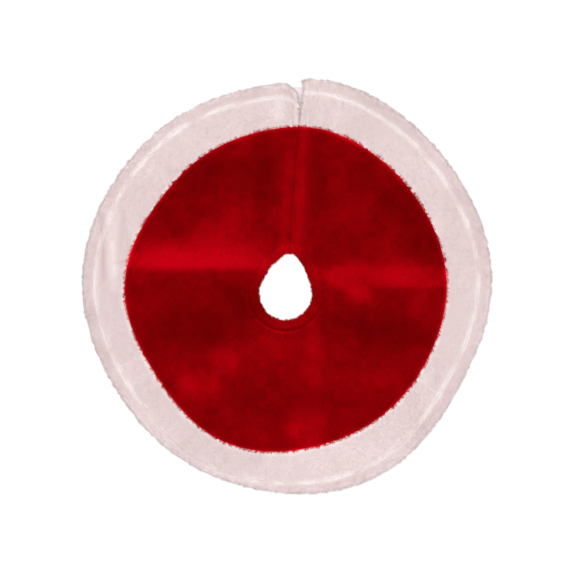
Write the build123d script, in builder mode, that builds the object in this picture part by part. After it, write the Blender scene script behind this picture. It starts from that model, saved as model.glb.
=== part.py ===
from build123d import *
import math
import os

os.makedirs("parts", exist_ok=True)

# A round Christmas tree skirt, in millimetres. It lies flat on the floor (z = 0) with its right side up.
# The origin is the middle of the outline on the floor, +X to the right and +Y towards the slit.

# Outline
OUTER_RADIUS = 455.0  # outer edge of the white border
CENTRE_RADIUS = 358.0  # seam between the red centre and the white border
CENTRE_AT = (-5.0, -5.0)  # the red centre is sewn slightly off the middle of the outline
HOLE_RADIUS = 60.0  # round lower end of the trunk hole
HOLE_AT = (-4.0, -15.0)
HOLE_TIP_RADIUS = 30.0  # narrower upper end, where the slit begins
HOLE_TIP_AT = (1.5, 46.0)

# Slit from the hole's tip to the outer edge: the two flap edges as points (x, y) going outwards
LEFT_FLAP_EDGE = [(5.0, 60.0), (6.8, 104.0), (12.0, 200.0), (26.0, 349.0), (22.0, 440.0), (21.0, 475.0)]
RIGHT_FLAP_EDGE = [(7.4, 60.0), (7.8, 104.0), (15.0, 200.0), (28.0, 349.0), (37.7, 430.0), (37.7, 475.0)]

# Fold creases: the fabric is one sheet, and it bends along these two lines when it is put away
CREASE_X = 5.0  # below the hole; above it the slit separates the two halves
CREASE_Y = 23.0
CREASE_GAP = 0.4

# Layers, from the floor up
LINING_TOP = 0.8
TAPE_TOP = 0.7  # the underlap lies loose under the right flap
CENTRE_TOP = 5.0  # tips of the red pile
BORDER_TOP = 7.0  # tips of the longer white pile
SEAM_GAP = 0.2  # between pieces that are sewn edge to edge
LINING_INSET = 2.0  # the lining stops short of the outer edge and the hole

# Border strips are joined by radial seams at these angles, besides the slit
BORDER_SEAMS = (205.0, 325.0)

# Stitching: a line of thread that lies in a groove pressed into the pile
THREAD_WIDTH = 0.8
THREAD_HEIGHT = 0.6
GROOVE_WIDTH = 1.4
GROOVE_DEPTH = 1.5
HEM_STITCH_RADIUS = 428.0  # the outer hem is 27 wide
NECK_HEM = 20.0  # the hem round the hole
SLIT_HEM = 30.0  # the hem along the right flap's edge
STITCH_END_GAP = 3.0  # each line of stitches stops short of a crease or an edge

# Closure under the slit: a white tape on the left flap, and three pairs of hook-and-loop pads
TAPE_WIDTH = 44.0
TAPE_BOTTOM = 100.0
TAPE_TOP_END = 443.0
PAD_WIDTH = 16.0
PAD_LENGTH = 60.0
PAD_CENTRES = (140.0, 265.0, 390.0)
PAD_THICKNESS = 0.8
PAD_CLEARANCE = 0.1
PAD_MARGIN = 0.5
REBATE_DEPTH = LINING_TOP + 2 * PAD_THICKNESS + PAD_CLEARANCE

FAR = 600.0  # larger than the skirt
UPPER_LEFT, LOWER_LEFT, LOWER_RIGHT, UPPER_RIGHT = "upper_left", "lower_left", "lower_right", "upper_right"
QUARTERS = (UPPER_LEFT, LOWER_LEFT, LOWER_RIGHT, UPPER_RIGHT)


def slit_x(edge, y):
    """Returns a flap edge's x at height y, between the edge's points."""
    for (x0, y0), (x1, y1) in zip(edge, edge[1:]):
        if y0 <= y <= y1:
            return x0 + (x1 - x0) * (y - y0) / (y1 - y0)
    return edge[-1][0]


def quarter_window(quarter, shift=0.0):
    """The flat region that belongs to a quarter, moved in from its crease and flap edges by shift."""
    left = quarter in (UPPER_LEFT, LOWER_LEFT)
    upper = quarter in (UPPER_LEFT, UPPER_RIGHT)
    inset = CREASE_GAP / 2 + shift
    side = -1 if left else 1
    if upper:
        edge = LEFT_FLAP_EDGE if left else RIGHT_FLAP_EDGE
        points = [(x + side * shift, y) for x, y in edge]
        points.insert(0, (points[0][0], CREASE_Y + inset))
        points += [(points[-1][0], FAR), (side * FAR, FAR), (side * FAR, CREASE_Y + inset)]
    else:
        near = CREASE_X + side * inset
        points = [(near, CREASE_Y - inset), (near, -FAR), (side * FAR, -FAR), (side * FAR, CREASE_Y - inset)]
    with BuildSketch() as window:
        with BuildLine():
            Polyline(*points, close=True)
        make_face()
    return window.sketch


def hole_outline(grow=0.0):
    """The egg-shaped trunk hole: the hull of its round end and its tip, grown outwards by grow."""
    with BuildSketch() as hole:
        with Locations(HOLE_AT):
            Circle(HOLE_RADIUS + grow)
        with Locations(HOLE_TIP_AT):
            Circle(HOLE_TIP_RADIUS + grow)
        make_hull()
    return hole.sketch


def seam_sector(start, end):
    """The region between two border seams, as a wide fan from the middle."""
    steps = 8
    angles = [math.radians(start + (end - start) * i / steps) for i in range(steps + 1)]
    with BuildSketch() as sector:
        with BuildLine():
            Polyline((0, 0), *[(FAR * math.cos(a), FAR * math.sin(a)) for a in angles], close=True)
        make_face()
    return sector.sketch


def pad_outline(centre_y, margin=0.0, to_slit=False):
    """One closure pad on the right-hand side of the slit; to_slit widens it to the flap's edge."""
    low, high = centre_y - PAD_LENGTH / 2 - margin, centre_y + PAD_LENGTH / 2 + margin
    clear = -PAD_MARGIN - TAPE_WIDTH if to_slit else PAD_MARGIN
    points = [
        (slit_x(RIGHT_FLAP_EDGE, low) + clear, low),
        (slit_x(RIGHT_FLAP_EDGE, low) + PAD_MARGIN + PAD_WIDTH + margin, low),
        (slit_x(RIGHT_FLAP_EDGE, high) + PAD_MARGIN + PAD_WIDTH + margin, high),
        (slit_x(RIGHT_FLAP_EDGE, high) + clear, high),
    ]
    with BuildSketch() as pad:
        with BuildLine():
            Polyline(*points, close=True)
        make_face()
    return pad.sketch


def tape_outline(grow=0.0):
    """The underlap tape, centred on the left flap's edge."""
    half = TAPE_WIDTH / 2 + grow
    low, high = TAPE_BOTTOM - grow, TAPE_TOP_END + grow
    heights = [low, 200.0, 349.0, high]
    left = [(slit_x(LEFT_FLAP_EDGE, y) - half, y) for y in heights]
    right = [(slit_x(RIGHT_FLAP_EDGE, y) + half, y) for y in heights]
    with BuildSketch() as tape:
        with BuildLine():
            Polyline(*left, *reversed(right), close=True)
        make_face()
    return tape.sketch


def hem_ring(width):
    """A ring along the outer hem's stitch line."""
    with BuildSketch() as ring:
        Circle(HEM_STITCH_RADIUS + width / 2)
        Circle(HEM_STITCH_RADIUS - width / 2, mode=Mode.SUBTRACT)
    return ring.sketch


def neck_ring(width):
    """A line of stitches round the hole."""
    with BuildSketch() as ring:
        add(hole_outline(NECK_HEM + width / 2))
        add(hole_outline(NECK_HEM - width / 2), mode=Mode.SUBTRACT)
    return ring.sketch


def slit_line(width):
    """The line of stitches along the right flap's hem, from the neck's hem to the outer hem."""
    top = math.sqrt(HEM_STITCH_RADIUS**2 - (SLIT_HEM + RIGHT_FLAP_EDGE[-1][0]) ** 2) - STITCH_END_GAP
    heights = [125.0, 200.0, 349.0, top]
    near = [(slit_x(RIGHT_FLAP_EDGE, y) + SLIT_HEM - width / 2, y) for y in heights]
    far = [(x + width, y) for x, y in near]
    with BuildSketch() as line:
        with BuildLine():
            Polyline(*near, *reversed(far), close=True)
        make_face()
    return line.sketch


def export_piece(piece, name):
    piece.label = name
    export_step(piece, f"parts/{name}.step")


def closure_rebate():
    """The shallow recesses that the closure pads lie in, under the right flap's edge."""
    with BuildSketch() as recesses:
        for centre_y in PAD_CENTRES:
            add(pad_outline(centre_y, margin=PAD_MARGIN, to_slit=True))
    return recesses.sketch


def make_lining(quarter):
    """One quarter of the thin lining; it stops at the underlap tape."""
    with BuildPart() as lining:
        with BuildSketch():
            Circle(OUTER_RADIUS - LINING_INSET)
            add(hole_outline(LINING_INSET), mode=Mode.SUBTRACT)
            add(quarter_window(quarter), mode=Mode.INTERSECT)
            if quarter in (UPPER_LEFT, UPPER_RIGHT):
                add(tape_outline(SEAM_GAP), mode=Mode.SUBTRACT)
        extrude(amount=LINING_TOP)
    export_piece(lining.part, f"lining_{quarter}")


def make_centre(quarter):
    """One quarter of the red plush centre, with the groove of the neck's hem and of the slit's hem."""
    with BuildPart() as centre:
        with BuildSketch(Plane.XY.offset(LINING_TOP)):
            with Locations(CENTRE_AT):
                Circle(CENTRE_RADIUS)
            add(hole_outline(), mode=Mode.SUBTRACT)
            add(quarter_window(quarter), mode=Mode.INTERSECT)
        extrude(amount=CENTRE_TOP - LINING_TOP)
        with BuildSketch(Plane.XY.offset(CENTRE_TOP - GROOVE_DEPTH)):
            add(neck_ring(GROOVE_WIDTH))
            if quarter == UPPER_RIGHT:
                add(slit_line(GROOVE_WIDTH))
        extrude(amount=GROOVE_DEPTH, mode=Mode.SUBTRACT)
        if quarter == UPPER_RIGHT:
            with BuildSketch():
                add(closure_rebate())
            extrude(amount=REBATE_DEPTH, mode=Mode.SUBTRACT)
    export_piece(centre.part, f"centre_{quarter}")


def make_border(name, quarter, start, end):
    """One length of the white border inside a quarter, between two seam angles."""
    with BuildPart() as border:
        with BuildSketch(Plane.XY.offset(LINING_TOP)):
            Circle(OUTER_RADIUS)
            with Locations(CENTRE_AT):
                Circle(CENTRE_RADIUS + SEAM_GAP, mode=Mode.SUBTRACT)
            add(seam_sector(start, end), mode=Mode.INTERSECT)
            add(quarter_window(quarter), mode=Mode.INTERSECT)
        extrude(amount=BORDER_TOP - LINING_TOP)
        with BuildSketch(Plane.XY.offset(BORDER_TOP - GROOVE_DEPTH)):
            add(hem_ring(GROOVE_WIDTH))
            if quarter == UPPER_RIGHT:
                add(slit_line(GROOVE_WIDTH))
        extrude(amount=GROOVE_DEPTH, mode=Mode.SUBTRACT)
        if quarter == UPPER_RIGHT:
            with BuildSketch():
                add(closure_rebate())
            extrude(amount=REBATE_DEPTH, mode=Mode.SUBTRACT)
    export_piece(border.part, name)


def export_thread(outline, bottom, name):
    """Writes a row of stitches as a flat ribbon of thread at the bottom of its groove."""
    with BuildPart() as thread:
        with BuildSketch(Plane.XY.offset(bottom)):
            add(outline)
        extrude(amount=THREAD_HEIGHT)
    export_piece(thread.part, name)


def make_round_stitching(quarter):
    """A quarter of the white thread in the outer hem and of the red thread in the neck's hem."""
    window = quarter_window(quarter, STITCH_END_GAP)
    rows = {
        "hem_stitching": (hem_ring(THREAD_WIDTH), BORDER_TOP - GROOVE_DEPTH),
        "neck_stitching": (neck_ring(THREAD_WIDTH), CENTRE_TOP - GROOVE_DEPTH),
    }
    for name, (ring, bottom) in rows.items():
        with BuildSketch() as row:
            add(ring)
            add(window, mode=Mode.INTERSECT)
        export_thread(row.sketch, bottom, f"{name}_{quarter}")


def make_slit_stitching():
    """The thread along the right flap's hem: red across the centre and white across the border."""
    with BuildSketch() as red_row:
        add(slit_line(THREAD_WIDTH))
        with Locations(CENTRE_AT):
            Circle(CENTRE_RADIUS - STITCH_END_GAP, mode=Mode.INTERSECT)
    export_thread(red_row.sketch, CENTRE_TOP - GROOVE_DEPTH, "slit_stitching_red")
    with BuildSketch() as white_row:
        add(slit_line(THREAD_WIDTH))
        with Locations(CENTRE_AT):
            Circle(CENTRE_RADIUS + STITCH_END_GAP, mode=Mode.SUBTRACT)
    export_thread(white_row.sketch, BORDER_TOP - GROOVE_DEPTH, "slit_stitching_white")


def make_closure():
    """The underlap tape and the two halves of its three hook-and-loop pads."""
    with BuildPart() as tape:
        with BuildSketch():
            add(tape_outline())
        extrude(amount=TAPE_TOP)
    export_piece(tape.part, "underlap_tape")
    heights = {
        "loop_pads": TAPE_TOP,
        "hook_pads": LINING_TOP + PAD_THICKNESS + PAD_CLEARANCE,
    }
    for name, bottom in heights.items():
        with BuildPart() as pads:
            with BuildSketch(Plane.XY.offset(bottom)):
                for centre_y in PAD_CENTRES:
                    add(pad_outline(centre_y))
            extrude(amount=PAD_THICKNESS)
        export_piece(pads.part, name)


for quarter_name in QUARTERS:
    make_lining(quarter_name)
    make_centre(quarter_name)
    make_round_stitching(quarter_name)
make_slit_stitching()

first_seam, second_seam = BORDER_SEAMS
make_border("border_left_upper", UPPER_LEFT, 60.0, first_seam)
make_border("border_left_lower", LOWER_LEFT, 60.0, first_seam)
make_border("border_bottom_left", LOWER_LEFT, first_seam, second_seam)
make_border("border_bottom_right", LOWER_RIGHT, first_seam, second_seam)
make_border("border_right_lower", LOWER_RIGHT, second_seam, 480.0)
make_border("border_right_upper", UPPER_RIGHT, second_seam, 480.0)
make_closure()
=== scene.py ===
"""A plush tree skirt laid flat: red centre, white border, lining, pile, hems, stitches and slit closure."""

import math
from collections import namedtuple

import bpy
import numpy as np
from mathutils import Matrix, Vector


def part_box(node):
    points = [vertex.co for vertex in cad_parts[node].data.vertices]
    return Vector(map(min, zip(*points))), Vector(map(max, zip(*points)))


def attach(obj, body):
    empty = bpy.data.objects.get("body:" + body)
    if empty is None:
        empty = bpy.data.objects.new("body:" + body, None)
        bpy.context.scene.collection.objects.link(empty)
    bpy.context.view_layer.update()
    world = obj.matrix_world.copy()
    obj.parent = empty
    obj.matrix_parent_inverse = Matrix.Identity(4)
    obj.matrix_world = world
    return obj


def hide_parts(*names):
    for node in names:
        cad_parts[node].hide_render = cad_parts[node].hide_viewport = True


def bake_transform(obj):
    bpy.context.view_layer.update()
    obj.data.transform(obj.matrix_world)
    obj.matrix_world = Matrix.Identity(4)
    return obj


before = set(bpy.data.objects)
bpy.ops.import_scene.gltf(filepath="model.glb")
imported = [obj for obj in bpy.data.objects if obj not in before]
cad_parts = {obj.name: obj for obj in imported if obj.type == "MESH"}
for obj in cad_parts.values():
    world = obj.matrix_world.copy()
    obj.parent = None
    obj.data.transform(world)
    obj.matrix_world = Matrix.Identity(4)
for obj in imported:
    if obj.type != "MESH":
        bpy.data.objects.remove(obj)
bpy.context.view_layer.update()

# ---------------- sizes, in metres and degrees

LINING_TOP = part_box("lining_lower_left")[1].z
TAPE_LOW, TAPE_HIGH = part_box("underlap_tape")

# Going round the skirt, angles run from the slit at 90 degrees to the slit again at 450
SLIT_LEFT, SLIT_RIGHT = 90.0, 450.0
LEFT_SEAM, RIGHT_SEAM = 205.0, 325.0
SECTORS = {
    "left": (SLIT_LEFT, LEFT_SEAM),
    "bottom": (LEFT_SEAM, RIGHT_SEAM),
    "right": (RIGHT_SEAM, SLIT_RIGHT),
}

# Outlines about the origin: a mean radius and gentle waves, each (waves per turn, height, angle of a crest)
OUTER_MEAN = 0.4488
OUTER_WAVES = [
    (1, 0.0014, 25), (2, 0.0035, -165), (3, 0.0051, 135),
    (4, 0.0031, 34), (5, 0.0021, 43), (6, 0.0027, -6),
]
CENTRE_MEAN = 0.3537
CENTRE_WAVES = [(1, 0.0051, -103), (2, 0.0048, 138), (4, 0.0047, -24), (5, 0.0025, 158), (6, 0.0023, 19)]
FLAP_REACH = 0.009  # the right flap stands out further at the slit
FLAP_REACH_ANGLE = 26.0
# The flap is trimmed where the lean of the slit would push it out
FLAP_TRIM, FLAP_TRIM_ANGLE, FLAP_TRIM_SPREAD = 0.005, 430.0, 14.0
LEFT_CORNER_RADIUS = 0.034
LINING_INSET = 0.003  # the lining ends this far inside the plush

# The trunk hole is egg-shaped: the hull of three circles, each (x, y, radius)
HOLE_CIRCLES = [(-0.0035, -0.0145, 0.0605), (-0.0005, 0.0190, 0.0465), (0.0005, 0.0525, 0.0230)]

# The slit leans right; each flap's edge as a row of y and a row of x
LEFT_EDGE = (0.060, 0.104, 0.200, 0.349, 0.440), (0.0050, 0.0066, 0.0120, 0.0260, 0.0220)
RIGHT_EDGE = (0.060, 0.104, 0.200, 0.349, 0.430), (0.0054, 0.0070, 0.0124, 0.0264, 0.0377)
SLIT_EASE = 42.0  # degrees over which the lean fades out

# Thickness of each layer above the lining, without the tips of the pile
CENTRE_BODY = 0.0024
BORDER_BODY = 0.0034
CENTRE_RISE, CENTRE_RISE_REACH = 0.0006, 0.004  # the red swells a little at the seam
BORDER_DIP, BORDER_DIP_REACH = 0.0004, 0.006  # the white dips there
STRIP_DIP, STRIP_DIP_REACH = 0.0008, 0.004  # and where two strips of the border meet

HEM_WIDTH = 0.027
NECK_HEM = 0.020
SLIT_HEM = 0.030
LEFT_FLAP_HEM, LEFT_FLAP_SHARE = 0.012, 0.6  # the left flap's hem is narrow and flatter
HEM_PUFF = 0.0012
GROOVE_DEPTH = 0.0012
GROOVE_HALF = 0.0022
LIP = 0.004  # radius of a turned edge
NECK_FRONT, NECK_SPREAD = 262.0, 56.0  # the neck hem is plainest at the front of the hole

# Rough distance across each layer, for the spacing of points and tufts
CENTRE_DEPTH = 0.296
BORDER_DEPTH = 0.097
LINING_DEPTH = 0.390

# The closure under the slit: a tape, and pads of hooks and loops on the right-hand side of it
TAPE_HALF = 0.022
PAD_WIDTH, PAD_LENGTH = 0.016, 0.060
PAD_PLACES = (0.140, 0.265, 0.390)
PAD_BODY, PAD_PILE = 0.0004, 0.0004
PAD_ROOM = 0.0013  # the flap's lift over the pads
TAPE_ROOM = 0.00075  # the lining's lift over the tape
TAPE_PRESS = 0.00072  # how much thinner the lining is pressed there
LAYER_GAP = 0.00003
TINY = 1e-12

# Soft strokes are (x, y, direction, half length, fade to the left, fade to the right, amount)

# Folds and ripples that the sheet keeps on the floor; amount is a height
RIPPLES = [
    (-0.215, 0.046, 0, 0.17, 0.030, 0.010, 0.0028),
    (0.270, 0.006, 2, 0.13, 0.026, 0.009, 0.0026),
    (0.008, -0.250, 90, 0.16, 0.018, 0.018, 0.0020),
    (0.120, 0.006, -34, 0.07, 0.018, 0.014, 0.0014),
    (-0.400, 0.120, 96, 0.09, 0.009, 0.007, 0.0036),
    (-0.372, 0.090, 88, 0.10, 0.010, 0.008, 0.0028),
    (-0.060, 0.330, 100, 0.09, 0.016, 0.018, 0.0018),
    (0.180, 0.260, 35, 0.10, 0.020, 0.024, 0.0018),
    (-0.220, -0.200, 20, 0.09, 0.022, 0.016, 0.0022),
    (0.070, -0.170, 84, 0.10, 0.014, 0.012, 0.0020),
    (0.040, -0.320, 10, 0.09, 0.030, 0.020, 0.0022),
]
# The rim lifts a little between these places: (angle, spread, height)
RIM_LIFTS = [
    (118, 13, 0.0030), (158, 9, 0.0038), (182, 8, 0.0032), (222, 14, 0.0028), (268, 12, 0.0034),
    (305, 13, 0.0030), (352, 14, 0.0036), (398, 15, 0.0030), (436, 9, 0.0020),
]

# Where the red pile is painted brighter (positive, painted sheen) or darker (negative, painted shade), as its
# nap turns to or from the light, up to a limit
PAINTED_SHEEN_LIMIT = 0.92
PAINTED_NAP_SHEEN = [
    (-0.200, 0.054, 0, 0.145, 0.042, 0.014, 1.60),
    (0.205, 0.032, 0, 0.125, 0.020, 0.026, 0.78),
    (0.275, 0.004, 0, 0.085, 0.026, 0.005, 0.45),
    (0.125, 0.004, -32, 0.070, 0.017, 0.015, 0.50),
    (0.160, -0.015, 0, 0.026, 0.022, 0.020, 0.45),
    (0.002, 0.086, 0, 0.022, 0.012, 0.010, 0.35),
    (0.030, 0.215, 87, 0.150, 0.012, 0.013, 0.42),
    (0.000, 0.210, 86, 0.140, 0.012, 0.010, 0.32),
    (0.072, 0.250, 88, 0.120, 0.022, 0.024, -0.26),
    (-0.052, 0.250, 90, 0.110, 0.026, 0.024, -0.20),
    (-0.155, 0.122, 0, 0.065, 0.028, 0.028, 0.25),
    (-0.080, 0.160, 0, 0.100, 0.035, 0.035, 0.18),
    (0.125, 0.160, 0, 0.060, 0.040, 0.030, 0.15),
    (-0.198, -0.218, 0, 0.050, 0.034, 0.030, 0.62),
    (-0.140, -0.162, 0, 0.034, 0.026, 0.026, 0.42),
    (-0.010, -0.122, 0, 0.075, 0.022, 0.026, 0.30),
    (0.056, -0.155, 88, 0.075, 0.018, 0.020, 0.38),
    (0.045, -0.318, 0, 0.045, 0.045, 0.050, 0.65),
    (0.205, -0.200, 0, 0.036, 0.022, 0.024, 0.25),
    (0.235, -0.098, 0, 0.095, 0.034, 0.040, -0.42),
    (-0.215, -0.004, 0, 0.120, 0.022, 0.026, -0.22),
    (-0.160, -0.060, 0, 0.110, 0.030, 0.045, -0.28),
    (-0.083, -0.029, 0, 0.050, 0.026, 0.030, -0.35),
    (-0.200, 0.225, 38, 0.110, 0.060, 0.060, -0.25),
    (-0.225, -0.100, 0, 0.110, 0.036, 0.032, -0.34),
    (-0.090, 0.245, 0, 0.080, 0.050, 0.050, -0.22),
    (-0.050, -0.260, 0, 0.060, 0.050, 0.045, -0.28),
    (0.275, 0.150, -55, 0.100, 0.045, 0.045, -0.40),
    (0.180, 0.215, -50, 0.070, 0.040, 0.040, -0.15),
    (0.130, -0.075, 0, 0.050, 0.030, 0.030, -0.30),
    (0.075, -0.245, 0, 0.050, 0.030, 0.030, -0.20),
]


# ---------------- numbers and fields


def smoothstep(t):
    t = np.clip(t, 0.0, 1.0)
    return t * t * (3 - 2 * t)


def bell(distance, reach):
    return np.exp(-((distance / reach) ** 2))


def unit(vectors):
    return vectors / (np.linalg.norm(vectors, axis=-1, keepdims=True) + TINY)


def value_noise(x, y, size, seed):
    """Smooth random values from -1 to 1 over the plane, with blobs of about the given size."""
    cells = 97
    grid = np.random.default_rng(seed).uniform(-1, 1, (cells, cells))
    u, v = x / size + 31.7, y / size + 17.3
    i, j = np.floor(u).astype(int), np.floor(v).astype(int)
    fu, fv = smoothstep(u - i), smoothstep(v - j)
    i, j = i % cells, j % cells
    i1, j1 = (i + 1) % cells, (j + 1) % cells
    low = grid[i, j] * (1 - fu) + grid[i1, j] * fu
    high = grid[i, j1] * (1 - fu) + grid[i1, j1] * fu
    return low * (1 - fv) + high * fv


def strokes_at(strokes, x, y):
    """Sum of soft strokes: each fades to its left and right over its own distance."""
    total = np.zeros_like(x)
    for at_x, at_y, direction, half_length, left, right, amount in strokes:
        c, s = math.cos(math.radians(direction)), math.sin(math.radians(direction))
        along = (x - at_x) * c + (y - at_y) * s
        across = (y - at_y) * c - (x - at_x) * s
        reach = np.where(across > 0, left, right)
        total += amount * np.exp(-((across / reach) ** 2) - (along / half_length) ** 4)
    return total


def laid_rise(x, y):
    """Height of the sheet above the floor as it is laid down, with its creases and ripples."""
    angle = np.degrees(np.arctan2(y, x)) % 360
    angle = np.where(angle < SLIT_LEFT, angle + 360, angle)
    radius = np.hypot(x, y)
    rise = strokes_at(RIPPLES, x, y)
    outer_share = smoothstep((radius - 0.30) / 0.14)
    for at, spread, height in RIM_LIFTS:
        rise += height * bell(angle - at, spread) * outer_share
    slit_calm = 1 - bell(x - 0.02, 0.030) * (y > 0.05)
    swell = 0.0012 * (1 + value_noise(x, y, 0.060, 5)) * smoothstep((radius - 0.07) / 0.05)
    return (rise + swell) * slit_calm


def painted_nap_sheen_at(x, y):
    """Brightness of the red pile from its painted sheen and shade, about -1 to 1."""
    sizes = ((0.070, 0.12, 10), (0.034, 0.12, 11), (0.015, 0.13, 12), (0.006, 0.08, 13))
    mottle = sum(amount * value_noise(x, y, size, seed) for size, amount, seed in sizes)
    return PAINTED_SHEEN_LIMIT * np.tanh((strokes_at(PAINTED_NAP_SHEEN, x, y) + mottle) / PAINTED_SHEEN_LIMIT)


# ---------------- outlines and layers


def wavy(mean, waves, angle):
    return mean + sum(height * np.cos(np.radians(k * angle - crest)) for k, height, crest in waves)


def polar(radius, angle):
    """Plane position at a radius and an angle."""
    return radius * np.cos(np.radians(angle)), radius * np.sin(np.radians(angle))


def hole_radius(angle):
    """Distance from the origin to the edge of the egg-shaped hole."""
    ux, uy = polar(1, angle)
    best = np.zeros_like(angle)
    for first, second in zip(HOLE_CIRCLES, HOLE_CIRCLES[1:]):
        for t in np.linspace(0, 1, 25):
            cx, cy, radius = (a + t * (b - a) for a, b in zip(first, second))
            inside = radius**2 - (cx * uy - cy * ux) ** 2
            reach = cx * ux + cy * uy + np.sqrt(np.maximum(inside, 0))
            best = np.where(inside > 0, np.maximum(best, reach), best)
    return best


def flap_trim(angle):
    return FLAP_TRIM * bell(angle - FLAP_TRIM_ANGLE, FLAP_TRIM_SPREAD)


def centre_radius(angle):
    return wavy(CENTRE_MEAN, CENTRE_WAVES, angle) - flap_trim(angle)


def outer_radius(angle):
    reach = wavy(OUTER_MEAN, OUTER_WAVES, angle) - flap_trim(angle)
    reach += FLAP_REACH * bell(SLIT_RIGHT - angle, FLAP_REACH_ANGLE)
    from_edge = np.clip(np.radians(angle - SLIT_LEFT) * OUTER_MEAN, 0, LEFT_CORNER_RADIUS)
    short = LEFT_CORNER_RADIUS - from_edge
    return reach - (LEFT_CORNER_RADIUS - np.sqrt(LEFT_CORNER_RADIUS**2 - short**2 + TINY))


def lean_over(radius, angle):
    """Plane position of a point given round the skirt, with the slit leaned to the right."""
    x, y = polar(radius, angle)
    right = angle > 270
    from_slit = np.where(right, SLIT_RIGHT - angle, angle - SLIT_LEFT)
    lean = np.where(right, np.interp(y, *RIGHT_EDGE), np.interp(y, *LEFT_EDGE))
    return x + lean * (1 - smoothstep(from_slit / SLIT_EASE)), y


def hem_width(angle):
    """The outer hem is narrower at the lower left and a little at the upper left."""
    return HEM_WIDTH - 0.013 * bell(angle - 252, 22) - 0.006 * bell(angle - 130, 26)


def lip(distance):
    """Share of the full thickness near a turned edge, 0 to 1."""
    t = np.clip(distance / LIP, 0, 1)
    return np.sqrt(np.clip(1 - (1 - t) ** 2, 0, 1))


def hem_profile(distance, width):
    """Puff of a folded hem and the groove of its stitches, by distance from the edge."""
    puff = HEM_PUFF * smoothstep(1.6 * (1 - distance / width)) * (distance < width)
    return puff - GROOVE_DEPTH * bell(distance - width, GROOVE_HALF)


def slit_distance(radius, angle):
    """Distances to the left and the right flap's edge; far away on the other side."""
    left = np.where(angle < 270, np.radians(angle - SLIT_LEFT) * radius, 1.0)
    right = np.where(angle > 270, np.radians(SLIT_RIGHT - angle) * radius, 1.0)
    return left, right


def between(inner, outer, share):
    """Radius at a share of the way between two edges, and its distances from them."""
    radius = inner + share * (outer - inner)
    return radius, radius - inner, outer - radius


def flap_hems(left, right):
    """Hem profiles of both flaps, by the distances to their edges."""
    return hem_profile(right, SLIT_HEM) + LEFT_FLAP_SHARE * hem_profile(left, LEFT_FLAP_HEM)


def neck_plainness(angle):
    """How plainly the neck hem shows, from 0 to 1: most at the front of the hole."""
    return bell(angle - NECK_FRONT, NECK_SPREAD)


def centre_layer(share, angle):
    """(radius, thickness) of the red centre; share runs from the hole to the seam."""
    radius, from_hole, from_seam = between(hole_radius(angle), centre_radius(angle), share)
    left, right = slit_distance(radius, angle)
    neck_depth = 0.1 + 0.9 * neck_plainness(angle)
    body = CENTRE_BODY + neck_depth * hem_profile(from_hole, NECK_HEM) + flap_hems(left, right)
    body += CENTRE_RISE * bell(from_seam, CENTRE_RISE_REACH)
    return radius, body * lip(from_hole) * lip(left) * lip(right)


def border_layer(share, angle):
    """(radius, thickness) of the white border; share runs from the seam to the outer edge."""
    radius, from_seam, from_edge = between(centre_radius(angle), outer_radius(angle), share)
    left, right = slit_distance(radius, angle)
    body = BORDER_BODY + hem_profile(from_edge, hem_width(angle)) + flap_hems(left, right)
    body -= BORDER_DIP * bell(from_seam, BORDER_DIP_REACH)
    for seam in (LEFT_SEAM, RIGHT_SEAM):
        body -= STRIP_DIP * bell(np.radians(angle - seam) * radius, STRIP_DIP_REACH)
    return radius, body * lip(from_edge) * lip(left) * lip(right)


def tape_room(radius, angle):
    """1 where the lining makes room for the tape under it, 0 elsewhere."""
    _, y = polar(radius, angle)
    from_slit = np.minimum(*slit_distance(radius, angle))
    ends = smoothstep((y - TAPE_LOW.y + 0.004) / 0.004) * smoothstep((TAPE_HIGH.y + 0.004 - y) / 0.004)
    return ends * smoothstep((TAPE_HALF + 0.003 - from_slit) / 0.002)


def pad_room(radius, angle):
    """1 where the right flap arches over the closure pads, 0 elsewhere."""
    _, y = polar(radius, angle)
    _, right = slit_distance(radius, angle)
    beside = smoothstep((PAD_WIDTH + 0.010 - right) / 0.008)
    reach = PAD_LENGTH / 2 + 0.014
    return beside * sum(smoothstep((reach - abs(y - place)) / 0.012) for place in PAD_PLACES)


def lining_layer(share, angle):
    """(radius, thickness) of the lining; share runs from the hole to the outer edge."""
    radius, _, _ = between(hole_radius(angle) + LINING_INSET, outer_radius(angle) - LINING_INSET, share)
    return radius, LINING_TOP - TAPE_PRESS * tape_room(radius, angle)


def lining_underside(radius, angle):
    """Height of the lining's underside above the settled sheet."""
    return TAPE_ROOM * tape_room(radius, angle) + PAD_ROOM * pad_room(radius, angle)


def plush_underside(radius, angle):
    """Height of the plush's underside above the settled sheet."""
    return LINING_TOP + LAYER_GAP + PAD_ROOM * pad_room(radius, angle)


# ---------------- the sheet settles on the floor

SETTLE_RINGS, SETTLE_TURNS = 56, 361
SETTLE_FRAMES = 24
DROP_STRETCH, DROP_HEIGHT = 1.6, 0.003  # the sheet starts more rumpled, and above the floor
SETTLE_SMOOTHING = 14
SETTLE_JOINED = 12  # columns over which the closure draws the two flaps to one height
HIGHEST_RISE = 0.0062


def settle_grid():
    """A grid over the whole skirt, with a cut at the slit: shares from the hole to the edge, and angles."""
    turns = np.linspace(SLIT_LEFT, SLIT_RIGHT, SETTLE_TURNS)
    angle, share = np.meshgrid(turns, np.linspace(0, 1, SETTLE_RINGS), indexing="ij")
    radius, _, _ = between(hole_radius(angle), outer_radius(angle), share)
    return lean_over(radius, angle)


def stiffened(heights):
    """Takes the finest wrinkles out, as the thick plush does, and eases the highest ones down."""
    for _ in range(SETTLE_SMOOTHING):
        padded = np.pad(heights, 1, mode="edge")
        around = padded[:-2, 1:-1] + padded[2:, 1:-1] + padded[1:-1, :-2] + padded[1:-1, 2:]
        heights = 0.5 * heights + 0.125 * around
    together = (heights[0] + heights[-1]) / 2
    for column in range(SETTLE_JOINED):
        share = 1 - column / SETTLE_JOINED
        heights[column] += share * (together - heights[column])
        heights[-1 - column] += share * (together - heights[-1 - column])
    return HIGHEST_RISE * (1 - np.exp(-heights / HIGHEST_RISE))


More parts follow.
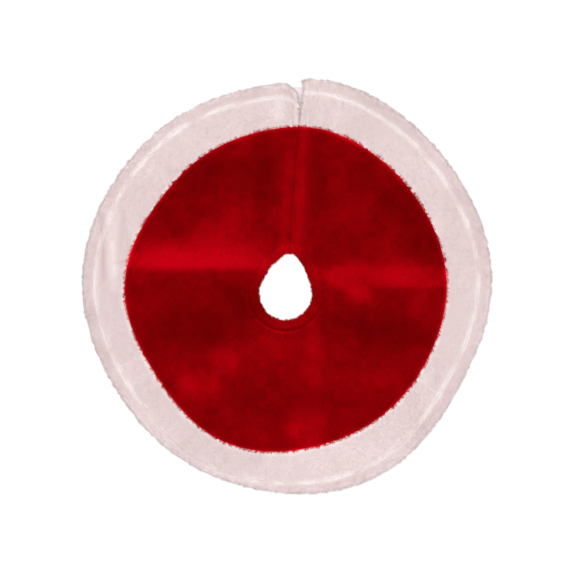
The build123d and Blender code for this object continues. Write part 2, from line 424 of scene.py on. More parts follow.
def settling_ground():
    """A plane that the sheet drops onto."""
    bpy.ops.mesh.primitive_plane_add(size=3, location=(0, 0, 0))
    ground = bpy.context.object
    ground.modifiers.new("collision", "COLLISION")
    ground.collision.thickness_outer = 0.001
    ground.collision.cloth_friction = 20
    return ground


CLOTH = {
    "quality": 5,
    "mass": 0.3,
    "tension_stiffness": 25,
    "compression_stiffness": 25,
    "bending_stiffness": 1.5,
    "air_damping": 3,
}


def add_cloth(sheet):
    """Lets the sheet fall and bend as a light, fairly stiff cloth."""
    cloth = sheet.modifiers.new("cloth", "CLOTH")
    for name, value in CLOTH.items():
        setattr(cloth.settings, name, value)
    cloth.collision_settings.distance_min = 0.001
    cloth.collision_settings.use_self_collision = False
    cloth.point_cache.frame_end = SETTLE_FRAMES


def settle():
    """Heights of the sheet's underside on the settle grid, after it has dropped onto the floor as cloth."""
    x, y = settle_grid()
    laid = laid_rise(x, y)
    index = np.arange(x.size).reshape(x.shape)
    points = rows_of(x, y, laid * DROP_STRETCH + DROP_HEIGHT)
    sheet = build_mesh("settling_sheet", points, grid_faces(index))
    ground = settling_ground()
    add_cloth(sheet)
    for at in range(1, SETTLE_FRAMES + 1):
        bpy.context.scene.frame_set(at)
    settled = sheet.evaluated_get(bpy.context.evaluated_depsgraph_get()).data
    heights = np.empty(len(settled.vertices) * 3, np.float32)
    settled.vertices.foreach_get("co", heights)
    heights = heights.reshape(-1, 3)[:, 2].reshape(x.shape).astype(float)
    for piece in (sheet, ground):
        bpy.data.objects.remove(piece)
    bpy.context.scene.frame_set(1)
    return stiffened(heights - heights.min())


def floor_rise(radius, angle):
    """Height of the sheet's underside at a place given round the skirt."""
    inner, outer = hole_radius(angle), outer_radius(angle)
    share = np.clip((radius - inner) / (outer - inner), 0, 1) * (SETTLE_RINGS - 1)
    turn = np.clip((angle - SLIT_LEFT) / (SLIT_RIGHT - SLIT_LEFT), 0, 1) * (SETTLE_TURNS - 1)
    i, j = np.minimum(turn.astype(int), SETTLE_TURNS - 2), np.minimum(share.astype(int), SETTLE_RINGS - 2)
    fi, fj = turn - i, share - j
    near = SETTLED[i, j] * (1 - fj) + SETTLED[i, j + 1] * fj
    far = SETTLED[i + 1, j] * (1 - fj) + SETTLED[i + 1, j + 1] * fj
    return near * (1 - fi) + far * fi


Layer = namedtuple("Layer", "shape underside")
LAYERS = {
    "centre": Layer(centre_layer, plush_underside),
    "border": Layer(border_layer, plush_underside),
    "lining": Layer(lining_layer, lining_underside),
}


def surface(kind, share, angle):
    """Points on a layer's upper side, and the height of its underside there."""
    radius, thickness = LAYERS[kind].shape(share, angle)
    x, y = lean_over(radius, angle)
    bottom = floor_rise(radius, angle) + LAYERS[kind].underside(radius, angle)
    return x, y, bottom + thickness, bottom


def edge_radii(kind, angles):
    """Radii of a layer's inner and outer edge."""
    return [LAYERS[kind].shape(np.full(len(angles), share), angles)[0] for share in (0.0, 1.0)]


# ---------------- meshes


def link(piece):
    bpy.context.scene.collection.objects.link(piece)
    return piece


def rows_of(x, y, z):
    """One row of coordinates for each point of a grid."""
    return np.stack([x, y, z], -1).reshape(-1, 3)


def grid_faces(index):
    """Four-cornered faces between neighbouring points of a grid of point numbers."""
    a, b, c, d = index[:-1, :-1], index[:-1, 1:], index[1:, 1:], index[1:, :-1]
    return np.stack([a, b, c, d], -1).reshape(-1, 4)


def build_mesh(name, points, faces, slots=None, normals=None):
    """A smooth-shaded mesh object from point and face arrays; every face has the same number of corners."""
    corners = faces.shape[1]
    mesh = bpy.data.meshes.new(name)
    mesh.vertices.add(len(points))
    mesh.vertices.foreach_set("co", points.astype(np.float32).ravel())
    mesh.loops.add(faces.size)
    mesh.loops.foreach_set("vertex_index", faces.astype(np.int32).ravel())
    mesh.polygons.add(len(faces))
    mesh.polygons.foreach_set("loop_start", np.arange(len(faces), dtype=np.int32) * corners)
    mesh.polygons.foreach_set("use_smooth", np.ones(len(faces), bool))
    if slots is not None:
        mesh.polygons.foreach_set("material_index", slots.astype(np.int32))
    mesh.update(calc_edges=True)
    if normals is not None:
        mesh.normals_split_custom_set_from_vertices(normals.astype(np.float32))
    return link(bpy.data.objects.new(name, mesh))


def add_flat_map(piece, points):
    """A UV map in metres of flat cloth, so that patterns stay on the cloth when it folds."""
    uv = piece.data.uv_layers.new(name="cloth")
    loops = np.empty(len(piece.data.loops), np.int32)
    piece.data.loops.foreach_get("vertex_index", loops)
    uv.data.foreach_set("uv", points[loops, :2].astype(np.float32).ravel())


def slab(name, x, y, top, bottom):
    """A closed sheet from two grids of heights over the same plane points."""
    points = np.concatenate([rows_of(x, y, top), rows_of(x, y, bottom)])
    index = np.arange(x.size).reshape(x.shape)
    upper = grid_faces(index)
    rim = np.concatenate([index[0, :], index[1:, -1], index[-1, -2::-1], index[-2:0:-1, 0]])
    onward = np.roll(rim, -1)
    sides = np.stack([onward, rim, rim + x.size, onward + x.size], -1)
    piece = build_mesh(name, points, np.concatenate([upper, upper[:, ::-1] + x.size, sides]))
    piece.data.set_sharp_from_angle(angle=math.radians(50))
    add_flat_map(piece, points)
    return piece


SETTLED = settle()


def graded(length, step, fine_step, fine_places):
    """Stations from 0 to length, closer together near some places: (place, reach) pairs."""
    stations, at = [0.0], 0.0
    while at < length:
        near = any(abs(at - place) < reach for place, reach in fine_places)
        at += fine_step if near else step
        stations.append(min(at, length))
    return np.array(stations)


def sector_angles(sector):
    start, end = SECTORS[sector]
    return graded(end - start, 0.8, 0.3, [(SLIT_LEFT - start, 16), (SLIT_RIGHT - start, 16)]) + start


CENTRE_FINE = [(0, 0.005), (NECK_HEM, 0.005), (CENTRE_DEPTH, 0.005)]
BORDER_FINE = [(0, 0.005), (BORDER_DEPTH - HEM_WIDTH, 0.008), (BORDER_DEPTH, 0.006)]
SHARES = {
    "centre": graded(CENTRE_DEPTH, 0.0045, 0.0011, CENTRE_FINE) / CENTRE_DEPTH,
    "border": graded(BORDER_DEPTH, 0.0045, 0.0012, BORDER_FINE) / BORDER_DEPTH,
    "lining": graded(LINING_DEPTH, 0.0030, 0.0030, []) / LINING_DEPTH,
}


def make_panel(kind, sector):
    """One sector of a layer as a closed sheet."""
    angle, share = np.meshgrid(sector_angles(sector), SHARES[kind], indexing="ij")
    x, y, top, bottom = surface(kind, share, angle)
    panel = slab(f"{kind}_{sector}", x, y, top, bottom)
    if kind in LEVELS:
        level = np.tile(LEVELS[kind](x, y, share, angle).ravel(), 2)
        attribute = panel.data.attributes.new("level", "FLOAT", "POINT")
        attribute.data.foreach_set("value", level.astype(np.float32))
    return panel


# ---------------- colour of the pile
# It is given as a level: 0 is the darkest tone and 1 the brightest; the level holds painted sheen, highlights
# and shade as well as the pile's own changes of tone.

# Painted highlights (positive) and painted shade (negative) of soft upright folds in the white border's left
# side
PAINTED_BORDER_FOLDS = [
    (-0.386, 0.075, 92, 0.075, 0.011, 0.010, 0.34),
    (-0.409, 0.090, 92, 0.085, 0.006, 0.006, -0.36),
    (-0.366, 0.135, 84, 0.050, 0.006, 0.008, -0.20),
    (-0.362, 0.058, 12, 0.028, 0.003, 0.003, -0.25),
    (-0.020, 0.400, 84, 0.030, 0.010, 0.014, 0.20),
]


def neck_hem_light_and_shade(from_hole, angle):
    """The painted dark shade in the neck hem's groove and the painted bright highlight on its fold."""
    groove, fold = bell(from_hole - NECK_HEM, 0.003), bell(from_hole - NECK_HEM - 0.004, 0.003)
    return neck_plainness(angle) * (0.24 * fold - 0.38 * groove)


def red_level(x, y, share, angle):
    # rim: a painted highlight along the red's edge at the seam, where it swells
    rim = 0.27 * smoothstep((share - 0.974) / 0.020)
    _, from_hole, _ = between(hole_radius(angle), centre_radius(angle), share)
    # the neck hem, with the painted shade of its groove and the painted highlight of its fold
    hem = 0.08 * (from_hole < NECK_HEM) + neck_hem_light_and_shade(from_hole, angle)
    return 0.42 + 0.44 * painted_nap_sheen_at(x, y) + rim + hem


SEAM_LIGHT = 0.20  # the border's pile parts along a seam and catches the light


def hem_plainness(angle):
    """How plainly the outer hem's stitches show, from 0 to 1: the pile hides them at the lower left."""
    return 1 - 0.85 * bell(angle - 238, 21)


def white_level(x, y, share, angle):
    radius, from_seam, from_edge = between(centre_radius(angle), outer_radius(angle), share)
    level = 0.50 + 0.10 * value_noise(x, y, 0.045, 21) + 0.05 * value_noise(x, y, 0.014, 22)
    # the painted highlights and shade of the folds
    level += strokes_at(PAINTED_BORDER_FOLDS, x, y)
    # A painted highlight along the ridge of the outer hem's stitching
    ridge_highlight = (0.36 + 0.28 * value_noise(x, y, 0.030, 23)) * bell(from_edge - hem_width(angle), 0.0052)
    hem = -0.12 * smoothstep((hem_width(angle) - 0.002 - from_edge) / 0.004)
    # Beside the seam the white is painted lighter, against the shade that the red pile casts on it
    level += (ridge_highlight + hem) * hem_plainness(angle) + 0.30 * bell(from_seam, 0.006)
    # Small flecks near the outer edge: painted light and shade between the locks of the fringe
    level += 0.24 * value_noise(x, y, 0.0040, 24) * smoothstep(1.5 - from_edge / 0.010)
    inside = smoothstep((from_edge - hem_width(angle)) / 0.006)
    for seam in (LEFT_SEAM, RIGHT_SEAM):
        waver = 0.003 * value_noise(x, y, 0.012, 25)
        level += SEAM_LIGHT * inside * bell(np.radians(angle - seam) * radius + waver, 0.0045)
    return level


LEVELS = {"centre": red_level, "border": white_level}


def tones_from(level, tones, rng):
    """Tone numbers for levels from 0 to 1, dithered so that neighbouring tones mix."""
    return np.clip(np.floor(level * tones + rng.uniform(-0.35, 0.35, level.shape)), 0, tones - 1).astype(int)


# ---------------- pile

# clump is a clump's size and strength; the edge values are for the tufts of a free edge
Pile = namedtuple("Pile", "spacing length width lean sink clump depth edge_lean edge_growth")
RED_PILE = Pile(0.0018, 0.0042, 0.0012, 44.0, 0.0008, (0.008, 0.7), CENTRE_DEPTH, 0.8, 0.7)
WHITE_PILE = Pile(0.0020, 0.0062, 0.0015, 46.0, 0.0012, (0.012, 0.25), BORDER_DEPTH, 1.0, 1.0)
PILE_LEAN_LIMITS = (26.0, 84.0)
EDGE_LEAN = 78.0  # the tufts of a free edge lean nearly flat
PILE_TALLEST = 0.0048
PILE_LOWEST = 0.0003
PILE_DISORDER = 0.3
PILE_EDGE = 0.003
SLIT_EDGE = 0.0045
SEAM_REACH = 0.005
SIDE_SHADING = 0.7  # how far the tufts' shading turns from the cloth's to their own sides
PILE_EDGE_RINGS = (0.0002, 0.0003, 0.0005, 0.0008, 0.0011, 0.0014, 0.0017, 0.0021)


def scatter(kind, sector, spacing, rng):
    """Roots of the tufts of one sector, as (share, angle), a spacing apart with some disorder."""
    start, end = SECTORS[sector]
    inner, outer = np.ravel(edge_radii(kind, np.array([(start + end) / 2])))
    depth = outer - inner
    rings = list(np.arange(spacing / 2, depth, spacing))
    rings += [depth - d for d in PILE_EDGE_RINGS] + list(PILE_EDGE_RINGS)
    shares, angles = [], []
    for ring in rings:
        arc = math.radians(end - start) * (inner + ring)
        count = max(2, round(arc / spacing))
        steps = (np.arange(count) + rng.uniform(0.05, 0.95, count)) / count
        jitter = rng.uniform(-0.45, 0.45, count) * spacing
        shares.append(np.clip((ring + jitter) / depth, 0, 1))
        angles.append(start + (end - start) * steps)
    return np.concatenate(shares), np.concatenate(angles)


def tangents(kind, share, angle):
    """Surface points and unit normals at the roots."""
    step, turn = 0.004, 0.15

    def point(share, angle):
        return np.stack(surface(kind, share, angle)[:3], -1)

    out = point(np.minimum(share + step, 1), angle) - point(np.maximum(share - step, 0), angle)
    onward = point(share, angle + turn) - point(share, angle - turn)
    return point(share, angle), unit(np.cross(out, onward))


def grow_tufts(name, roots, normals, direction, lean, length, width, tones, soft, lowest, rng):
    """Three-sided tufts that lean over, no lower than lowest; soft, 0 to 1, evens out their shading."""
    count = len(roots)
    side = unit(np.cross(normals, direction))
    ahead = np.cross(side, normals)
    spin = rng.uniform(0, 2 * math.pi, count)
    points = np.empty((count, 4, 3))
    shading = np.empty((count, 4, 3))
    for corner in range(3):
        turn = spin + corner * 2 * math.pi / 3
        away = np.cos(turn)[:, None] * ahead + np.sin(turn)[:, None] * side
        points[:, corner] = roots + away * width[:, None]
        shading[:, corner] = soft[:, None] * normals + SIDE_SHADING * away
    tip = np.cos(lean)[:, None] * normals + np.sin(lean)[:, None] * ahead
    points[:, 3] = roots + tip * length[:, None]
    points[:, 3, 2] = np.minimum(points[:, 3, 2], roots[:, 2] + PILE_TALLEST)
    shading[:, 3] = soft[:, None] * normals + 0.2 * tip
    points[:, :, 2] = np.maximum(points[:, :, 2], lowest[:, None])
    first = np.arange(count)[:, None] * 4
    faces = np.concatenate([first + np.array([[a, b, 3]]) for a, b in ((0, 1), (1, 2), (2, 0))])
    return build_mesh(name, points.reshape(-1, 3), faces, np.tile(tones, 3), unit(shading).reshape(-1, 3))


def pile_direction(x, y):
    """Which way the pile lies in the plane: mostly towards the front, with swirls."""
    turn = np.radians(-95 + 38 * value_noise(x, y, 0.085, 41) + 30 * value_noise(x, y, 0.022, 42))
    return np.stack([np.cos(turn), np.sin(turn), np.zeros_like(turn)], -1)


def clumping(x, y, clump):
    """Draws neighbouring tips together into clumps of a size, with a strength."""
    size, strength = clump
    step = 0.1 * size
    across = value_noise(x + step, y, size, 51) - value_noise(x - step, y, size, 51)
    along = value_noise(x, y + step, size, 51) - value_noise(x, y - step, size, 51)
    return strength * 3 * np.stack([across, along, np.zeros_like(x)], -1)


def compass(angle):
    """Level unit vectors at an angle: outwards from the hole, and onwards round the skirt."""
    (x, y), level = polar(1, angle), np.zeros(len(angle))
    return np.stack([x, y, level], -1), np.stack([-y, x, level], -1)


def disorder(count, rng):
    return rng.normal(0, PILE_DISORDER, (count, 3)) * (1, 1, 0)


def nearness(kind, share, depth):
    """How near, from 0 to 1, the tufts are to the outer edge, to the hole's edge and to the border's seam."""
    at_outer = smoothstep((share - 1) * depth / PILE_EDGE + 1)
    at_inner = smoothstep(1 - share * depth / PILE_EDGE) * (kind == "centre")
    by_seam = bell(share * depth, SEAM_REACH) * (kind == "border")
    return at_outer, at_inner, by_seam


def wisps_at(x, y, rng):
    """How much longer the tufts of an edge grow: unevenly, in small locks."""
    wisps = 0.35 + 0.65 * np.tanh(2.5 * value_noise(x, y, 0.0032, 31)) + 0.25 * value_noise(x, y, 0.016, 32)
    return wisps + 0.3 * rng.uniform(0, 1, len(x)) ** 2


def make_pile(kind, sector, pile, tones, seed):
    """The pile of one sector of the centre or the border."""
    rng = np.random.default_rng(seed)
    share, angle = scatter(kind, sector, pile.spacing, rng)
    roots, normals = tangents(kind, share, angle)
    count = len(roots)
    x, y, _ = roots.T
    tone = tones_from(LEVELS[kind](x, y, share, angle), tones, rng)
    lean = np.radians(np.clip(pile.lean + rng.normal(0, 13, count), *PILE_LEAN_LIMITS))
    length = pile.length * rng.uniform(0.75, 1.2, count)
    width = pile.width * rng.uniform(0.8, 1.2, count)
    direction = pile_direction(x, y) + clumping(x, y, pile.clump) + disorder(count, rng)
    outward, onward = compass(angle)
    at_outer, at_inner, by_seam = nearness(kind, share, pile.depth)
    at_edge = np.maximum(at_outer, at_inner)
    direction += outward * (3.0 * (at_outer - at_inner) + 2.5 * by_seam)[:, None]
    direction += disorder(count, rng) * at_edge[:, None]
    radius = LAYERS[kind].shape(share, angle)[0]
    left, right = slit_distance(radius, angle)
    at_slit = bell(np.minimum(left, right), SLIT_EDGE)
    direction += onward * (3.0 * at_slit * np.where(right < left, 1, -1))[:, None]
    lean += (np.radians(EDGE_LEAN) - lean) * np.maximum(at_edge * pile.edge_lean, 0.6 * at_slit)
    length *= np.clip(1 + pile.edge_growth * at_edge * wisps_at(x, y, rng), 0.5, 2.6)
    width *= 1 - 0.4 * at_edge
    length = np.minimum(length * (1 + 0.7 * at_slit), 2.1 * pile.length) * (1 - 0.55 * by_seam)
    direction += 1.2 * clumping(x, y, (0.006, 1.0)) * at_edge[:, None]
    over_tape = smoothstep(2 - np.minimum(left, right) / SLIT_EDGE)
    lowest = PILE_LOWEST + over_tape * (floor_rise(radius, angle) + TAPE_HIGH.z)
    name, soft = f"pile_{kind}_{sector}", 1 - 0.9 * at_edge
    roots = roots - normals * pile.sink
    return grow_tufts(name, roots, normals, direction, lean, length, width, tone, soft, lowest, rng)


# ---------------- stitches

STITCH_PITCH = 0.0046
STITCH_THICK = 0.0005
STITCH_RISE = 0.0011
STITCH_HALF = 0.40 * STITCH_PITCH
STITCH_SIDES = 6
# Rings of points along a stitch: place from end to end, thickness and rise, as shares
STITCH_RINGS = [
    (-1.0, 0.35, -0.6),
    (-0.7, 0.95, 0.0),
    (0.0, 1.0, 0.25),
    (0.7, 0.95, 0.0),
    (1.0, 0.35, -0.6),
]


def stitch_faces():
    """Faces of one stitch: a six-sided tube with two quads over each end."""
    rings = np.arange(len(STITCH_RINGS) * STITCH_SIDES).reshape(-1, STITCH_SIDES)
    tube = grid_faces(np.hstack([rings, rings[:, :1]]))
    first = rings[0][[[0, 3, 2, 1], [0, 5, 4, 3]]]
    last = rings[-1][[[0, 1, 2, 3], [0, 3, 4, 5]]]
    return np.vstack([tube, first, last])


def stitch_places(line):
    """Middles and directions of the stitches along a line of points."""
    lengths = np.concatenate([[0], np.cumsum(np.linalg.norm(np.diff(line, axis=0), axis=1))])
    count = max(1, int(lengths[-1] / STITCH_PITCH))
    middles = (np.arange(count) + 0.5) * lengths[-1] / count

    def at(stations):
        return np.stack([np.interp(stations, lengths, line[:, k]) for k in range(3)], -1)

    return at(middles), unit(at(middles + STITCH_HALF) - at(middles - STITCH_HALF))


def make_stitches(name, kind, angles, shares, plainness=1.0):
    """A row of short stitches just above a layer, or deeper in its pile where they show less plainly."""
    x, y, top, _ = surface(kind, shares, angles)
    middle, along = stitch_places(np.stack([x, y, top + STITCH_RISE * (1.5 * plainness - 0.5)], -1))
    side = unit(np.cross(along, (0, 0, 1)))
    up = np.cross(side, along)
    count = len(middle)
    points = np.empty((count, len(STITCH_RINGS), STITCH_SIDES, 3))
    for i, (place, swell, rise) in enumerate(STITCH_RINGS):
        centre = middle + along * (STITCH_HALF * place) + up * (STITCH_THICK * rise)
        for j in range(STITCH_SIDES):
            turn = 2 * math.pi * j / STITCH_SIDES
            around = math.cos(turn) * side + math.sin(turn) * up
            points[:, i, j] = centre + around * (STITCH_THICK * swell)
    per_stitch = len(STITCH_RINGS) * STITCH_SIDES
    faces = np.arange(count)[:, None, None] * per_stitch + stitch_faces()[None]
    return build_mesh(name, points.reshape(-1, 3), faces.reshape(-1, 4))


def hem_stitches(sector):
    """Stitches of the outer hem, in one sector."""
    start, end = SECTORS[sector]
    angles = np.arange(start + 0.6, end - 0.5, 0.25)
    shares = 1 - hem_width(angles) / (outer_radius(angles) - centre_radius(angles))
    return make_stitches(f"hem_stitches_{sector}", "border", angles, shares, hem_plainness(angles))


def neck_stitches(sector):
    """Stitches of the trunk hole's hem, in one sector."""
    start, end = SECTORS[sector]
    angles = np.arange(start + 1.5, end - 1.4, 0.5)
    shares = NECK_HEM / (centre_radius(angles) - hole_radius(angles))
    return make_stitches(f"neck_stitches_{sector}", "centre", angles, shares, neck_plainness(angles))


def slit_stitches(colour, kind):
    """Stitches of the right flap's hem, across the centre or the border."""
    seam = centre_radius(np.array([SLIT_RIGHT - 5]))[0]
    low, high = (0.125, seam - 0.003) if kind == "centre" else (seam + 0.003, 0.430)
    radii = np.arange(low, high, 0.003)
    angles = SLIT_RIGHT - np.degrees(SLIT_HEM / radii)
    inner, outer = edge_radii(kind, angles)
    shares = np.clip((radii - inner) / (outer - inner), 0, 1)
    return make_stitches(f"slit_stitches_{colour}", kind, angles, shares)


# ---------------- materials

# The pile's tones run from painted shade to painted sheen
RED_TONE_COUNT = 8
RED_DARK, RED_STEP = 0.12, 1.311  # each tone is this much lighter than the last
RED_TONES = [(red, 0.0, 0.02 * red**2) for red in RED_DARK * RED_STEP ** np.arange(RED_TONE_COUNT)]
WHITE_TONES = [
    (0.68, 0.54, 0.545),
    (0.745, 0.60, 0.60),
    (0.80, 0.66, 0.66),
    (0.86, 0.735, 0.73),
    (0.94, 0.85, 0.84),
]
RED_TINT = (1.0, 0.05, 0.08)
WHITE_TINT = (1.0, 0.95, 0.95)
NO_TINT = (1, 1, 1)


def principled(name, colour, roughness, sheen=0.0, sheen_tint=NO_TINT, specular=0.2, specular_tint=NO_TINT):
    """A material with one Principled shader; returns it with its node tree and shader."""
    material = bpy.data.materials.new(name)
    material.use_nodes = True
    shader = material.node_tree.nodes["Principled BSDF"]
    values = {
        "Base Color": (*colour, 1),
        "Roughness": roughness,
        "Sheen Weight": sheen,
        "Sheen Roughness": 0.5,
        "Sheen Tint": (*sheen_tint, 1),
        "Specular IOR Level": specular,
        "Specular Tint": (*specular_tint, 1),
    }
    for socket, value in values.items():
        shader.inputs[socket].default_value = value
    return material, material.node_tree, shader


def add_node(tree, kind, output, inputs, **settings):
    """Adds a node and returns one output; each input is a value or another node's output."""
    node = tree.nodes.new(f"ShaderNode{kind}")
    for name, value in settings.items():
        setattr(node, name, value)
    for socket, value in inputs.items():
        if isinstance(value, bpy.types.NodeSocket):
            tree.links.new(value, node.inputs[socket])
        else:
            node.inputs[socket].default_value = value
    return node.outputs[output]


def cloth_coordinates(tree):
    return add_node(tree, "UVMap", "UV", {}, uv_map="cloth")


def noise_node(tree, where, scale, detail):
    return add_node(tree, "TexNoise", "Fac", {"Vector": where, "Scale": scale, "Detail": detail})


def ramp_node(tree, factor, stops):
    output = add_node(tree, "ValToRGB", "Color", {"Fac": factor})
    elements = output.node.color_ramp.elements
    for place, _ in stops[1:-1]:
        elements.new(place)
    for element, (place, colour) in zip(elements, stops):
        element.position = place
        element.color = (*colour, 1)
    return output


def cover(tree, shader, colour, height, distance):
    """Gives a shader its colour, and bumps of a height times a distance."""
    bump = add_node(tree, "Bump", "Normal", {"Height": height, "Distance": distance, "Strength": 1.0})
    tree.links.new(bump, shader.inputs["Normal"])
    tree.links.new(colour, shader.inputs["Base Color"])


def plush_ground(name, tones, shade, tint):
    """The dense ground between the tufts: the pile's tones darkened a little as painted shade of the pile's
    depth, mottled, matt and bumpy.
    """
    material, tree, shader = principled(name, tones[0], 0.9, 0.2, tint, 0.05, tint)
    where = cloth_coordinates(tree)
    level = add_node(tree, "Attribute", "Fac", {}, attribute_name="level")
    terms = {0: noise_node(tree, where, 260, 4), 1: 0.30, 2: level}
    mottle = add_node(tree, "Math", 0, terms, operation="MULTIPLY_ADD")
    last = len(tones) - 1
    stops = [(min(0.15 + i / last, 1.0), [shade * c for c in tone]) for i, tone in enumerate(tones)]
    cover(tree, shader, ramp_node(tree, mottle, stops), noise_node(tree, where, 900, 2), 0.0006)
    return material


def lining_material():
    """Thin non-woven lining: pressed fibres and faint blotches."""
    material, tree, shader = principled("lining_felt", (0.8, 0.75, 0.73), 0.85, 0.15)
    fibres = noise_node(tree, cloth_coordinates(tree), 420, 6)
    colour = ramp_node(tree, fibres, [(0.3, (0.60, 0.57, 0.56)), (0.7, (0.74, 0.71, 0.70))])
    cover(tree, shader, colour, fibres, 0.0003)
    return material


def thread_material(name, colour):
    """Sewing thread with a slight shine."""
    return principled(name, colour, 0.45, 0.2, colour, 0.2, colour)[0]


def weave_material():
    """Cotton tape: fine ribs one way and threads the other."""
    material, tree, shader = principled("tape_weave", (0.86, 0.76, 0.77), 0.7, 0.2)
    ribs = {}
    for term, (direction, scale) in enumerate((("X", 260), ("Y", 420))):
        inputs = {"Vector": cloth_coordinates(tree), "Scale": scale, "Distortion": 0.4}
        ribs[term] = add_node(tree, "TexWave", "Fac", inputs, bands_direction=direction)
    both = add_node(tree, "Math", 0, ribs, operation="MULTIPLY")
    colour = ramp_node(tree, both, [(0.0, (0.80, 0.69, 0.70)), (0.8, (0.93, 0.84, 0.85))])
    cover(tree, shader, colour, both, 0.0003)
    return material


def pile_materials(name, tones, *look):
    """One material for each tone of a pile: lit and shaded copies that carry its painted sheen and shade."""
    return [principled(f"{name}_{i}", tone, 0.75, *look)[0] for i, tone in enumerate(tones)]


MATERIALS = {
    "red_ground": plush_ground("red_ground", RED_TONES, 0.8, RED_TINT),
    "white_ground": plush_ground("white_ground", WHITE_TONES, 0.95, (1.0, 0.93, 0.93)),
    "lining": lining_material(),
    "white_thread": thread_material("white_thread", (0.95, 0.88, 0.87)),
    "red_thread": thread_material("red_thread", (0.36, 0.0, 0.006)),
    "tape": weave_material(),
    "pad": principled("pad_backing", (0.70, 0.66, 0.66), 0.55)[0],
    "loops": principled("pad_loops", (0.76, 0.72, 0.72), 0.7, 0.3)[0],
    "hooks": principled("pad_hooks", (0.62, 0.59, 0.59), 0.35)[0],
}
RED_PILES = pile_materials("red_pile", RED_TONES, 0.35, RED_TINT, 0.06, RED_TINT)
WHITE_PILES = pile_materials("white_pile", WHITE_TONES, 0.5, WHITE_TINT, 0.1)


# ---------------- assembly


def paint(piece, slot, *materials):
    """Gives a piece its materials; its slot is not used."""
    for material in materials:
        piece.data.materials.append(material)


def bend(piece, sector, slot, *materials):
    """Paints a piece of a sector, and bakes its placement into its mesh."""
    paint(piece, slot, *materials)
    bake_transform(piece)


FLAT_STEPS = 200  # stations round a sector when its flat size is worked out


def flat_area(kind, sector):
    """Flat area of a sector of a layer, and its size: the border strip's, or a rectangle that holds it."""
    angles = np.linspace(*SECTORS[sector], FLAT_STEPS)
    turns = np.radians(angles)
    inner, outer = edge_radii(kind, angles)
    flat = np.ptp(np.hstack([polar(inner, angles), polar(outer, angles)]), axis=1)
    if kind == "border":
        flat = np.array([np.max(outer - inner), np.trapz(outer, turns)])
    return float(np.trapz((outer**2 - inner**2) / 2, turns)), tuple(flat.tolist())


def quarters(sector):
    """The upper and the lower quarter of a side; the bottom sector leaves its quarters to them."""
    return [] if sector == "bottom" else [f"upper_{sector}", f"lower_{sector}"]


def replaced_nodes(kind, sector):
    """The CAD nodes that a sector of a layer stands for."""
    if kind == "border":
        ends = ("left", "right") if sector == "bottom" else ("upper", "lower")
        return [f"border_{sector}_{end}" for end in ends]
    return [f"{kind}_{quarter}" for quarter in quarters(sector)]


# The material and the slot of each layer
GROUNDS = {
    "centre": ("red_ground", "red_plush"),
    "border": ("white_ground", "white_plush"),
    "lining": ("lining", "lining"),
}


def make_layer(kind, sector):
    """A sector of a layer, painted, in place of its CAD parts; its flat area and size are worked out."""
    piece = make_panel(kind, sector)
    ground, slot = GROUNDS[kind]
    bend(piece, sector, slot, MATERIALS[ground])
    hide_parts(*replaced_nodes(kind, sector))
    area, flat = flat_area(kind, sector)


def make_sector(number, sector):
    """The layers, the pile and the stitches of one sector."""
    pile_red = make_pile("centre", sector, RED_PILE, len(RED_TONES), 100 + number)
    bend(pile_red, sector, "red_plush", *RED_PILES)
    pile_white = make_pile("border", sector, WHITE_PILE, len(WHITE_TONES), 200 + number)
    bend(pile_white, sector, "white_plush", *WHITE_PILES)
    hem = hem_stitches(sector)
    bend(hem, sector, "white_thread", MATERIALS["white_thread"])
    neck = neck_stitches(sector)
    bend(neck, sector, "red_thread", MATERIALS["red_thread"])
    for quarter in quarters(sector):
        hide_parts(f"hem_stitching_{quarter}")
        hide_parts(f"neck_stitching_{quarter}")
    make_layer("lining", sector)
    make_layer("centre", sector)
    make_layer("border", sector)


def slit_strip(y, from_edge):
    """Plane positions and floor heights beside the right flap's edge; from_edge is negative left of it."""
    x = np.interp(y, *RIGHT_EDGE) + from_edge
    turn = np.degrees(abs(from_edge) / y)
    return x, floor_rise(y, np.where(from_edge < 0, SLIT_LEFT + turn, SLIT_RIGHT - turn))


def make_tape():
    """The underlap: a flat tape sewn under the left flap's edge, which the right flap closes onto."""
    y, across = np.meshgrid(np.linspace(TAPE_LOW.y, TAPE_HIGH.y, 130), np.linspace(1, -1, 15), indexing="ij")
    gap = np.interp(y, *RIGHT_EDGE) - np.interp(y, *LEFT_EDGE)
    from_edge = across * TAPE_HALF - gap * (1 - across) / 2
    x, bottom = slit_strip(y, from_edge)
    selvedge = 0.0002 * bell(1 - abs(across), 0.12)
    tape = slab("underlap_tape_cloth", x, y, bottom + TAPE_HIGH.z - 0.0002 + selvedge, bottom)
    paint(tape, "white_tape", MATERIALS["tape"])
    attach(tape, "upper_left")
    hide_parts("underlap_tape")


def joined(name, parts):
    """Joins mesh objects into the first of them, under a new name."""
    with bpy.context.temp_override(active_object=parts[0], selected_editable_objects=parts):
        bpy.ops.object.join()
    parts[0].name = name
    return parts[0]


def pad_grid(place, spacing):
    """Rows and columns of points over one pad, with the floor's rise under them."""
    rows = np.arange(place - PAD_LENGTH / 2, place + PAD_LENGTH / 2 + 1e-6, spacing)
    y, from_edge = np.meshgrid(rows, np.arange(PAD_WIDTH + 0.0005, 0, -spacing), indexing="ij")
    x, floor = slit_strip(y, from_edge)
    return x, y, floor


def pad_pile(name, place, height, up, spacing, lean, rng):
    """Hooks or loops of one pad, which stand up or down from its backing."""
    x, y, floor = pad_grid(place, spacing)
    roots = rows_of(x, y, floor + height)
    count = len(roots)
    normals = np.tile((0.0, 0.0, 1.0 if up else -1.0), (count, 1))
    direction = rng.normal(0, 1, (count, 3)) * (1, 1, 0)
    leans = np.radians(rng.uniform(0, lean, count))
    size, soft = np.full(count, PAD_PILE), np.full(count, 0.5)
    tone, lowest = np.zeros(count), np.full(count, PILE_LOWEST)
    return grow_tufts(name, roots, normals, direction, leans, size, 0.6 * size, tone, soft, lowest, rng)


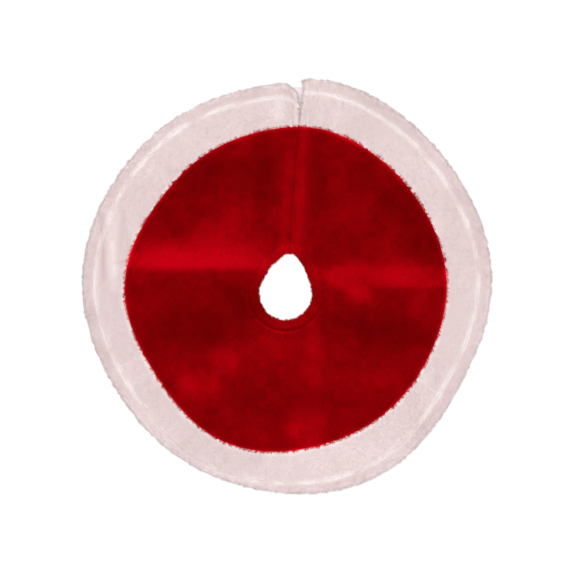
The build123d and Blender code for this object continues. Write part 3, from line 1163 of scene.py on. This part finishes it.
def make_pads(name, body, height, up, spacing, lean, material, seed):
    """Three backings, with hooks under them or loops on top."""
    rng = np.random.default_rng(seed)
    low, face = (height, height + PAD_BODY) if up else (height - PAD_BODY, height - PAD_BODY)
    backings, piles = [], []
    for place in PAD_PLACES:
        x, y, floor = pad_grid(place, 0.0019)
        backings.append(slab(f"{name}_{place}", x, y, floor + low + PAD_BODY, floor + low))
        piles.append(pad_pile(f"{name}_pile_{place}", place, face, up, spacing, lean, rng))
    backing, pile = joined(f"{name}_backing", backings), joined(f"{name}_pile", piles)
    for piece, look in ((backing, "pad"), (pile, material)):
        paint(piece, "hook_and_loop", MATERIALS[look])
        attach(piece, body)
    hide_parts(name)


for number, sector_name in enumerate(SECTORS):
    make_sector(number, sector_name)
for colour, kind in (("red", "centre"), ("white", "border")):
    slit_row = slit_stitches(colour, kind)
    paint(slit_row, f"{colour}_thread", MATERIALS[f"{colour}_thread"])
    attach(slit_row, "upper_right")
    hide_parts(f"slit_stitching_{colour}")
make_tape()
HOOKS_HEIGHT = TAPE_HIGH.z + PAD_ROOM + 0.00005  # just under the lifted lining
make_pads("loop_pads", "upper_left", TAPE_HIGH.z, True, 0.0009, 70, "loops", 301)
make_pads("hook_pads", "upper_right", HOOKS_HEIGHT, False, 0.0012, 15, "hooks", 302)

# ---------------- floor, light and camera

VIEW_WIDTH = 1.2787  # across the picture, at the floor
VIEW_MIDDLE = (0.0017, -0.0022)
CAMERA_HEIGHT = 3.0
SENSOR_WIDTH = 36


def make_floor():
    bpy.ops.mesh.primitive_plane_add(size=12, location=(0, 0, -0.0005))
    floor = bpy.context.object
    floor.name = "floor"
    floor.data.materials.append(principled("floor_paper", (0.93, 0.93, 0.93), 0.9, specular=0.0)[0])


def make_light(name, place, aim, size, power):
    data = bpy.data.lights.new(name, "AREA")
    data.size = size
    data.energy = power
    lamp = link(bpy.data.objects.new(name, data))
    lamp.location = place
    towards = np.array(aim) - np.array(place)
    lamp.rotation_euler = Vector(towards).to_track_quat("-Z", "Y").to_euler()


def make_world(strength):
    world = bpy.data.worlds.new("studio")
    world.use_nodes = True
    background = world.node_tree.nodes["Background"]
    background.inputs["Color"].default_value = (1, 1, 1, 1)
    background.inputs["Strength"].default_value = strength
    bpy.context.scene.world = world


def make_camera():
    data = bpy.data.cameras.new("camera")
    data.sensor_width = SENSOR_WIDTH
    data.lens = SENSOR_WIDTH * CAMERA_HEIGHT / VIEW_WIDTH
    camera = link(bpy.data.objects.new("camera", data))
    camera.location = (*VIEW_MIDDLE, CAMERA_HEIGHT)
    bpy.context.scene.camera = camera


make_floor()
make_world(0.74)
make_light("key", (-0.6, 1.1, 2.7), (0, 0, 0), 1.6, 36)
make_light("fill", (0.9, -1.3, 2.5), (0, 0, 0), 1.8, 24)
make_camera()
bpy.context.scene.view_settings.view_transform = "Standard"
